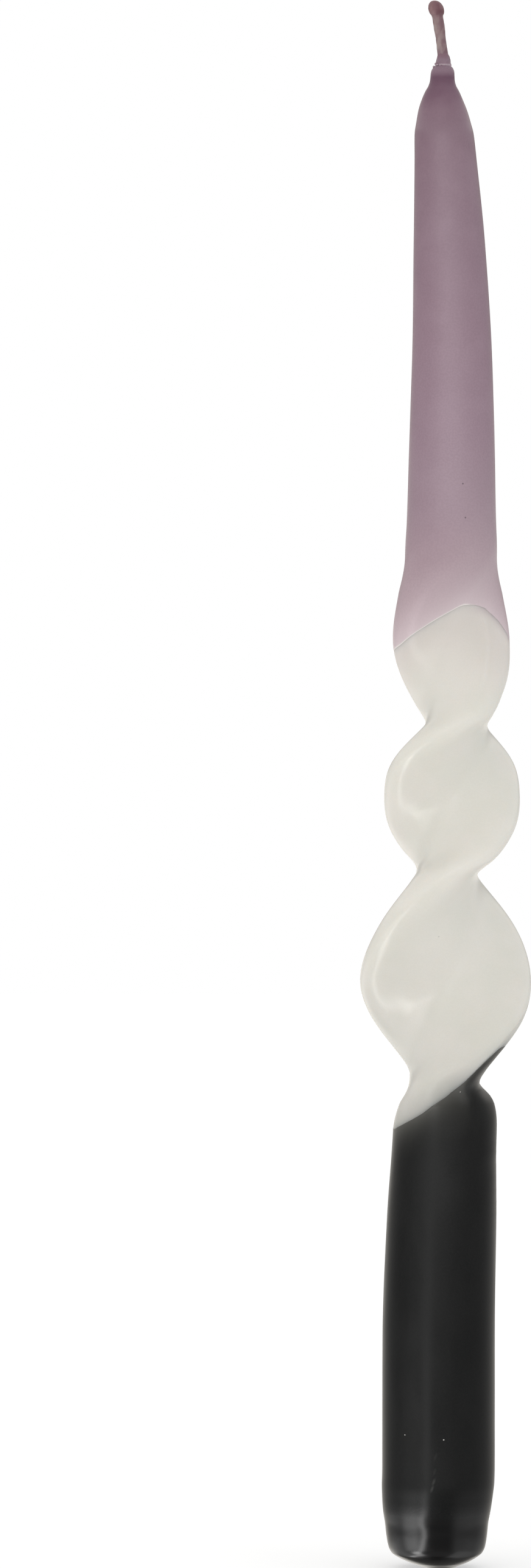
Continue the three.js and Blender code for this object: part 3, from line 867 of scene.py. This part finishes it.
def make_black_coat():
    rows = rings(0.6, FOOT_DIP - 1.5, 0.6, UNDER_CAP)
    rows += [(FOOT_DIP - 1.2, 0.2), (FOOT_DIP - 0.9, 0.0)]
    rows += rings(FOOT_DIP - 0.6, FOOT_TAPER + 5, 0.6)
    rows += rings(FOOT_TAPER + 6.5, BLACK_DIP - 16, 1.8)
    rows += rings(BLACK_DIP - 15, BLACK_DIP - 1.9, 0.6)
    rows += [(BLACK_DIP - step, lip(step, BLACK_PROUD)) for step in reversed(LIP_STEPS)]
    colours = [("painted_glow_in_black", painted_glow_in_black)]
    coat = blank("black_coat", rows, closed=(True, False), fields=colours)
    return add_wall(shape_wax(coat, black), COAT_WALL)


def make_foot_cap():
    rows = rings(0, DOME + 1.6, 0.15, -CAP_PROUD)
    rows += rings(DOME + 2.0, FOOT_DIP - 1.0, 0.4, -CAP_PROUD)
    rows += [(FOOT_DIP - 0.5, -0.012), (FOOT_DIP, -0.003)]
    colours = [("near_foot_dip", near_foot_dip)]
    cap = blank("foot_cap", rows, closed=(True, False), fields=colours)
    return add_wall(shape_wax(cap, glossy_black), CAP_WALL)


black_coat = make_black_coat()
foot_cap = make_foot_cap()

# %% [markdown]
# ## The cotton wick
# A wick is a cord of twisted strands. Each strand follows the same path at its own phase, which is
# a job for Geometry Nodes: one line per strand, wound round the path, and swept with a circle.

# %% Build the cord tree
COLLAR = TIP + 0.3
SHEATH = COLLAR + 2.5
BEAD = SHEATH + 6.8


def build_cord_tree():
    tree, given, result = new_tree("twisted_cord", [
        ("Strands", "Int", 3), ("Strand radius", "Float", 0.34 * MM),
        ("Winding radius", "Float", 0.34 * MM), ("Turns per metre", "Float", 420.0),
        ("Material", "Material", None),
    ])

    def op(operation, *inputs):
        return calculate(tree, operation, *inputs)

    strands = tree.nodes.new("GeometryNodeDuplicateElements")
    strands.domain = "SPLINE"
    tree.links.new(given.outputs["Geometry"], strands.inputs["Geometry"])
    tree.links.new(given.outputs["Strands"], strands.inputs["Amount"])
    height = split_xyz(tree, tree.nodes.new("GeometryNodeInputPosition").outputs[0])["Z"]
    share = op("DIVIDE", strands.outputs["Duplicate Index"], given.outputs["Strands"])
    turns = op("MULTIPLY_ADD", height, given.outputs["Turns per metre"], share)
    phase = op("MULTIPLY", turns, 2 * math.pi)
    x = op("MULTIPLY", op("COSINE", phase), given.outputs["Winding radius"])
    y = op("MULTIPLY", op("SINE", phase), given.outputs["Winding radius"])
    wound = move_by(tree, strands.outputs["Geometry"], combine_xy(tree, x, y))
    circle = tree.nodes.new("GeometryNodeCurvePrimitiveCircle")
    circle.inputs["Resolution"].default_value = 10
    tree.links.new(given.outputs["Strand radius"], circle.inputs["Radius"])
    sweep = tree.nodes.new("GeometryNodeCurveToMesh")
    tree.links.new(wound, sweep.inputs["Curve"])
    tree.links.new(circle.outputs[0], sweep.inputs["Profile Curve"])
    sweep.inputs["Fill Caps"].default_value = True
    give_material(tree, sweep.outputs[0], given, result)
    return tree


# %% Wind the wick
def make_wick():
    heights = levels(2.2, BEAD + 1.5, 0.55)
    path = bpy.data.curves.new("wick_path", "CURVE")
    path.dimensions = "3D"
    line = path.splines.new("POLY")
    line.points.add(len(heights) - 1)
    for point, height in zip(line.points, heights):
        point.co = (float(sway_at(max(height, FOOT_TAPER))) * MM, 0.0, height * MM, 1.0)
    guide = new_object("wick_path", path)
    made = run_tree(guide, build_cord_tree(), cotton)
    cord = new_object("wick_cord", made)
    made.name = cord.name
    bpy.data.objects.remove(guide)
    print(cord.name, len(made.polygons), "faces")
    return cord


wick = make_wick()

# %% [markdown]
# ## Wax on the wick
# The free wick is soaked in wax, with a small cone at the neck and a drop at the end. These three
# are lofted from rings round the wick's own path, and a fixed noise makes them lumpy.

# %% Rings round the wick
from mathutils import Matrix, Vector, noise


def wick_loft(name, rings, sides, material, lumps=0.0, tilt=0.0, crumbs=()):
    """rings are (height, radius) in mm, from the lowest up; crumbs are (x, y, z, radius)."""
    model = bmesh.new()
    made = []
    for height, radius in rings:
        ring = []
        for side in range(sides):
            angle = 2 * math.pi * side / sides
            z = height + tilt * radius * math.cos(angle)
            middle = float(sway_at(max(z, FOOT_TAPER)))
            point = Vector((middle + radius * math.cos(angle), radius * math.sin(angle), z))
            bulge = 1 + lumps * (noise.noise(point * 0.9) + 0.5 * noise.noise(point * 2.3))
            point.x = middle + radius * bulge * math.cos(angle)
            point.y = radius * bulge * math.sin(angle)
            ring.append(model.verts.new(point * MM))
        made.append(ring)
    for low, high in zip(made, made[1:]):
        for side in range(sides):
            after = (side + 1) % sides
            model.faces.new((low[side], low[after], high[after], high[side]))
    for ring, order in ((made[0], -1), (made[-1], 1)):
        middle = model.verts.new(sum((v.co for v in ring), Vector()) / sides)
        for side in range(sides):
            pair = (ring[side], ring[(side + 1) % sides])[::order]
            model.faces.new((*pair, middle))
    for x, y, z, radius in crumbs:
        place = Matrix.Translation(Vector((x, y, z)) * MM)
        bmesh.ops.create_icosphere(model, subdivisions=2, radius=radius * MM, matrix=place)
    mesh = bpy.data.meshes.new(name)
    model.to_mesh(mesh)
    model.free()
    mesh.polygons.foreach_set("use_smooth", np.ones(len(mesh.polygons), bool))
    mesh.materials.append(material)
    print(name, len(mesh.polygons), "faces")
    return new_object(name, mesh)


# %% Collar, waxed wick and drop
collar = wick_loft("wax_collar", [
    (COLLAR - 0.75, 1.5), (COLLAR - 0.58, 1.56), (COLLAR - 0.42, 1.57), (COLLAR - 0.25, 1.53),
    (COLLAR - 0.1, 1.47), (COLLAR + 0.05, 1.43), (COLLAR + 0.25, 1.42), (COLLAR + 0.6, 1.4),
    (COLLAR + 0.9, 1.35), (COLLAR + 1.2, 1.26), (COLLAR + 1.5, 1.17), (COLLAR + 1.8, 1.1),
    (COLLAR + 2.1, 1.04), (COLLAR + 2.4, 0.98),
], 64, collar_lilac, lumps=0.12, tilt=0.12, crumbs=[
    (-0.45, -1.0, COLLAR - 0.1, 0.25), (-0.15, -1.3, COLLAR - 0.22, 0.2),
    (0.4, -1.48, COLLAR - 0.34, 0.15), (1.3, -1.5, COLLAR - 0.36, 0.13),
    (1.9, -1.15, COLLAR - 0.34, 0.17), (-0.8, -0.55, COLLAR - 0.62, 0.25),
])
sheath = wick_loft("waxed_wick", [
    (height, 1.08 - 0.1 * math.exp(-((height - SHEATH - 1.8) / 1.8) ** 2)
     + 0.06 * math.exp(-((height - BEAD - 0.2) / 0.4) ** 2))
    for height in levels(SHEATH - 1.6, BEAD + 0.3, 0.2)
], 48, waxed, lumps=0.05)
bead = wick_loft("wick_drop", [
    (BEAD - 0.32 + 1.72 * (1 - math.cos(turned)), 1.53 * math.sin(turned) ** 0.9)
    for turned in np.linspace(0.5, 3.08, 30)
], 56, waxed, lumps=0.03)

# %% [markdown]
# ## The camera
# The photograph shows the candle far to the right of its frame, and upright, so the camera looks
# level and stands 1.1 m away, to the left of the candle.

# %% Camera at the photograph's place
PIXEL = SHAFT / 185 * MM
CAMERA_DISTANCE = 1.1
IMAGE_WIDTH, IMAGE_HEIGHT = 872, 2576
AXIS_COLUMN = 719
camera_data = bpy.data.cameras.new("camera")
camera = new_object("camera", camera_data)
camera.location = (
    (IMAGE_WIDTH / 2 - AXIS_COLUMN) * PIXEL, -CAMERA_DISTANCE, IMAGE_HEIGHT / 2 * PIXEL,
)
camera.rotation_euler = (math.radians(90), 0, 0)
camera_data.lens = camera_data.sensor_width * CAMERA_DISTANCE / (IMAGE_HEIGHT * PIXEL)
camera_data.clip_start = 0.01
bpy.context.scene.camera = camera
bpy.context.scene.view_settings.view_transform = "Standard"
print("lens:", round(camera_data.lens, 1), "mm")

# %% [markdown]
# ## The studio
# Matt wax shows little of the room, but glossy wax shows all of it: a big softbox low on the left,
# a weak one low on the right, a dark room behind the camera and white paper behind the candle. The
# world holds that room for glossy rays: four bands of light, one above the other, under an even
# ceiling. The sharp highlights come from three small lights in it: a core low on the left, a strip
# from it towards the camera and an arc below both. Straight below the candle it is darker. All
# other rays see an even light, and the camera sees plain white.


# %% Four bands of light round the horizon
BRIGHTEST = 5.0
CEILING = (0.8, 0.8, 0.8)


def band(tree, azimuth, stops):
    """stops are (degrees to the right of the camera's side, strength)."""
    shares = [(degrees / 360 + 0.5, [strength / BRIGHTEST] * 3) for degrees, strength in stops]
    return calculate(tree, "MULTIPLY", ramp_of(tree, azimuth, shares), BRIGHTEST)


def room_of_bands(tree, azimuth, height):
    level = band(tree, azimuth, [
        (-180, 1.15), (-160, 0.9), (-135, 0.45), (-110, 0.28), (-85, 0.22), (-60, 0.24),
        (-34, 0.36), (-10, 0.34), (10, 0.32), (40, 0.26), (85, 0.26), (110, 0.34), (135, 0.48),
        (160, 0.7), (180, 1.15),
    ])
    low = band(tree, azimuth, [
        (-180, 1.3), (-150, 1.3), (-105, 1.0), (-90, 0.9), (-74, 2.4), (-54, 3.0), (-27, 0.4),
        (-18, 0.15), (30, 0.15), (46, 0.55), (80, 0.65), (100, 0.55), (150, 0.6), (180, 1.1),
    ])
    deep = band(tree, azimuth, [
        (-180, 0.12), (-150, 0.2), (-115, 1.0), (-75, 0.9), (-50, 0.6), (-30, 0.3), (40, 0.3),
        (55, 1.0), (80, 1.0), (115, 0.6), (150, 0.2), (180, 0.12),
    ])
    high = band(tree, azimuth, [
        (-180, 0.4), (-110, 0.3), (-75, 0.5), (-45, 1.1), (-28, 1.8), (-10, 2.1), (10, 1.9),
        (35, 1.1), (60, 0.55), (110, 0.25), (180, 0.35),
    ])
    room = blend_colours(tree, spread_over(tree, height, -0.34, -0.2, 1.0, 0.0), level, low)
    room = blend_colours(tree, spread_over(tree, height, -0.62, -0.44, 1.0, 0.0), room, deep)
    room = blend_colours(tree, spread_over(tree, height, -0.01, 0.10), room, high)
    return blend_colours(tree, spread_over(tree, height, 0.14, 0.28), room, CEILING)


# %% The small lights that make the highlights
CORE_LIGHT = (-0.62, -0.34, -0.71)
STRIP_TOP = (0.0, -0.927, 0.375)
ARC_DEPTH = 0.838


def strip_of_light(tree, looking, height):
    """A strip from the core light towards STRIP_TOP, which fades out below the horizon."""
    end, top = Vector(CORE_LIGHT), Vector(STRIP_TOP)
    off = vector_value(tree, "DOT_PRODUCT", looking, end.cross(top).normalized())
    narrow = spread_over(tree, calculate(tree, "ABSOLUTE", off), 0.015, 0.11, 1.0, 0.0)
    along = vector_value(tree, "DOT_PRODUCT", looking, (end + top).normalized())
    strip = calculate(tree, "MULTIPLY", narrow, spread_over(tree, along, 0.7, 0.78, 0.0, 4.0))
    return calculate(tree, "MULTIPLY", strip, spread_over(tree, height, -0.26, -0.1, 1.0, 0.0))


def arc_of_light(tree, azimuth, height):
    """An arc on the left, at one height below the core light."""
    off = calculate(tree, "ABSOLUTE", calculate(tree, "ADD", height, ARC_DEPTH))
    arc = band(tree, azimuth, [(-180, 0.0), (-128, 0.0), (-114, 1.0), (-54, 1.0), (-36, 0.0)])
    return calculate(tree, "MULTIPLY", arc, spread_over(tree, off, 0.012, 0.045, 3.6, 0.0))


# %% World
WHITE = (1.0, 1.0, 1.0)
WARM_PAPER = (1.0, 0.965, 0.9)
LIGHT_FROM_LEFT = (0.94, 0.93, 0.915)
LIGHT_FROM_RIGHT = (0.87, 0.88, 0.88)


def mirrored_room(tree, looking, way, azimuth):
    room = room_of_bands(tree, azimuth, way["Z"])
    near_core = vector_value(tree, "DOT_PRODUCT", looking, CORE_LIGHT)
    core_light = spread_over(tree, near_core, 0.978, 0.998, 0.0, 4.6)
    room = blend_colours(tree, 1.0, room, core_light, "ADD")
    room = blend_colours(tree, 1.0, room, strip_of_light(tree, looking, way["Z"]), "ADD")
    room = blend_colours(tree, 1.0, room, arc_of_light(tree, azimuth, way["Z"]), "ADD")
    below = spread_over(tree, way["Z"], -0.97, -0.88, 0.3, 1.0)
    room = blend_colours(tree, 1.0, room, below, "MULTIPLY")
    tint = blend_colours(tree, spread_over(tree, way["Y"], 0.3, 0.9), WHITE, WARM_PAPER)
    return blend_colours(tree, 1.0, room, tint, "MULTIPLY")


def even_light(tree, way):
    side = spread_over(tree, way["X"], -0.8, 0.8)
    even = blend_colours(tree, side, LIGHT_FROM_LEFT, LIGHT_FROM_RIGHT)
    upper = spread_over(tree, way["Z"], 0.0, 1.0, 1.0, 0.72)
    facing = spread_over(tree, way["Y"], -1.0, 0.4, 1.1, 0.94)
    return blend_colours(tree, 1.0, even, calculate(tree, "MULTIPLY", upper, facing), "MULTIPLY")


def make_studio():
    world = bpy.data.worlds.new("studio")
    bpy.context.scene.world = world
    world.use_nodes = True
    world.cycles.sampling_method = "NONE"
    tree = world.node_tree
    looking = tree.nodes.new("ShaderNodeTexCoord").outputs["Generated"]
    way = split_xyz(tree, looking)
    towards_camera = calculate(tree, "MULTIPLY", way["Y"], -1.0)
    turned = calculate(tree, "ARCTAN2", way["X"], towards_camera)
    azimuth = calculate(tree, "MULTIPLY_ADD", turned, 0.5 / math.pi, 0.5)
    path = tree.nodes.new("ShaderNodeLightPath").outputs
    mirrored = calculate(tree, "MAXIMUM", path["Is Glossy Ray"], path["Is Transmission Ray"])
    room = mirrored_room(tree, looking, way, azimuth)
    seen = blend_colours(tree, mirrored, even_light(tree, way), room)
    seen = blend_colours(tree, path["Is Camera Ray"], seen, WHITE)
    tree.links.new(seen, tree.nodes["Background"].inputs["Color"])


make_studio()
print("world:", bpy.context.scene.world.name)


# %% Floor that is white to the camera and keeps the shadow
FLOOR_REACH = 3.0


def make_floor():
    mesh = bpy.data.meshes.new("floor")
    ways = ((-1, -1), (1, -1), (1, 1), (-1, 1))
    corners = [(x * FLOOR_REACH, y * FLOOR_REACH, 0) for x, y in ways]
    mesh.from_pydata(corners, [], [(0, 1, 2, 3)])
    floor = new_object("floor", mesh)
    material, tree, shader = new_material("floor_paint")
    set_inputs(shader, {"Base Color": (0.8, 0.8, 0.8, 1), "Roughness": 0.9, "Specular IOR Level": 0})
    seen_by = tree.nodes.new("ShaderNodeLightPath")
    glow = tree.nodes.new("ShaderNodeEmission")
    shown = calculate(tree, "MULTIPLY_ADD", seen_by.outputs["Is Camera Ray"], 0.25, 0.2)
    tree.links.new(shown, glow.inputs["Strength"])
    both = tree.nodes.new("ShaderNodeAddShader")
    tree.links.new(shader.outputs[0], both.inputs[0])
    tree.links.new(glow.outputs[0], both.inputs[1])
    tree.links.new(both.outputs[0], tree.nodes["Material Output"].inputs["Surface"])
    mesh.materials.append(material)
    floor.visible_glossy = False
    print("floor:", 2 * FLOOR_REACH, "m wide")


make_floor()


# %% Two soft lamps
def soft_lamp(name, place, target, size, power, colour):
    data = bpy.data.lights.new(name, "AREA")
    data.shape = "RECTANGLE"
    data.size, data.size_y = size
    data.energy = power
    data.color = colour
    lamp = new_object(name, data)
    lamp.location = place
    beam = Vector(target) - Vector(place)
    lamp.rotation_euler = beam.to_track_quat("-Z", "Y").to_euler()
    lamp.visible_glossy = False
    print(name, round(beam.length, 2), "m away")


MIDDLE = (0, 0, 0.15)
soft_lamp("left_softbox", (-0.75, -0.85, 0.12), MIDDLE, (0.6, 0.6), 1.3, (1.0, 0.98, 0.95))
soft_lamp("right_softbox", (0.9, -0.6, 0.35), MIDDLE, (0.4, 0.7), 0.5, (0.95, 0.98, 1.0))

# %% [markdown]
# ## Riding on the frame
# Every piece takes the place of one body of the imported model and rides on the same root. The
# table also lists the slot of each finish, which is not assigned here.

# %% Pieces, nodes and slots
replaced = {
    core: ("white_taper_core", "white_wax"), lilac_coat: ("lilac_dip_coat", "lilac_wax"),
    black_coat: ("black_dip_coat", "black_wax"), foot_cap: ("foot_dip_cap", "glossy_black_wax"),
    wick: ("wick", "cotton_wick"), collar: ("wick_collar", "lilac_wax"),
    sheath: ("wick_wax_sheath", "waxed_cotton"), bead: ("wick_tip_bead", "waxed_cotton"),
}
for piece, (node, slot) in replaced.items():
    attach(piece, "root")
    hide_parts(node)
print("pieces:", [piece.name for piece in replaced])
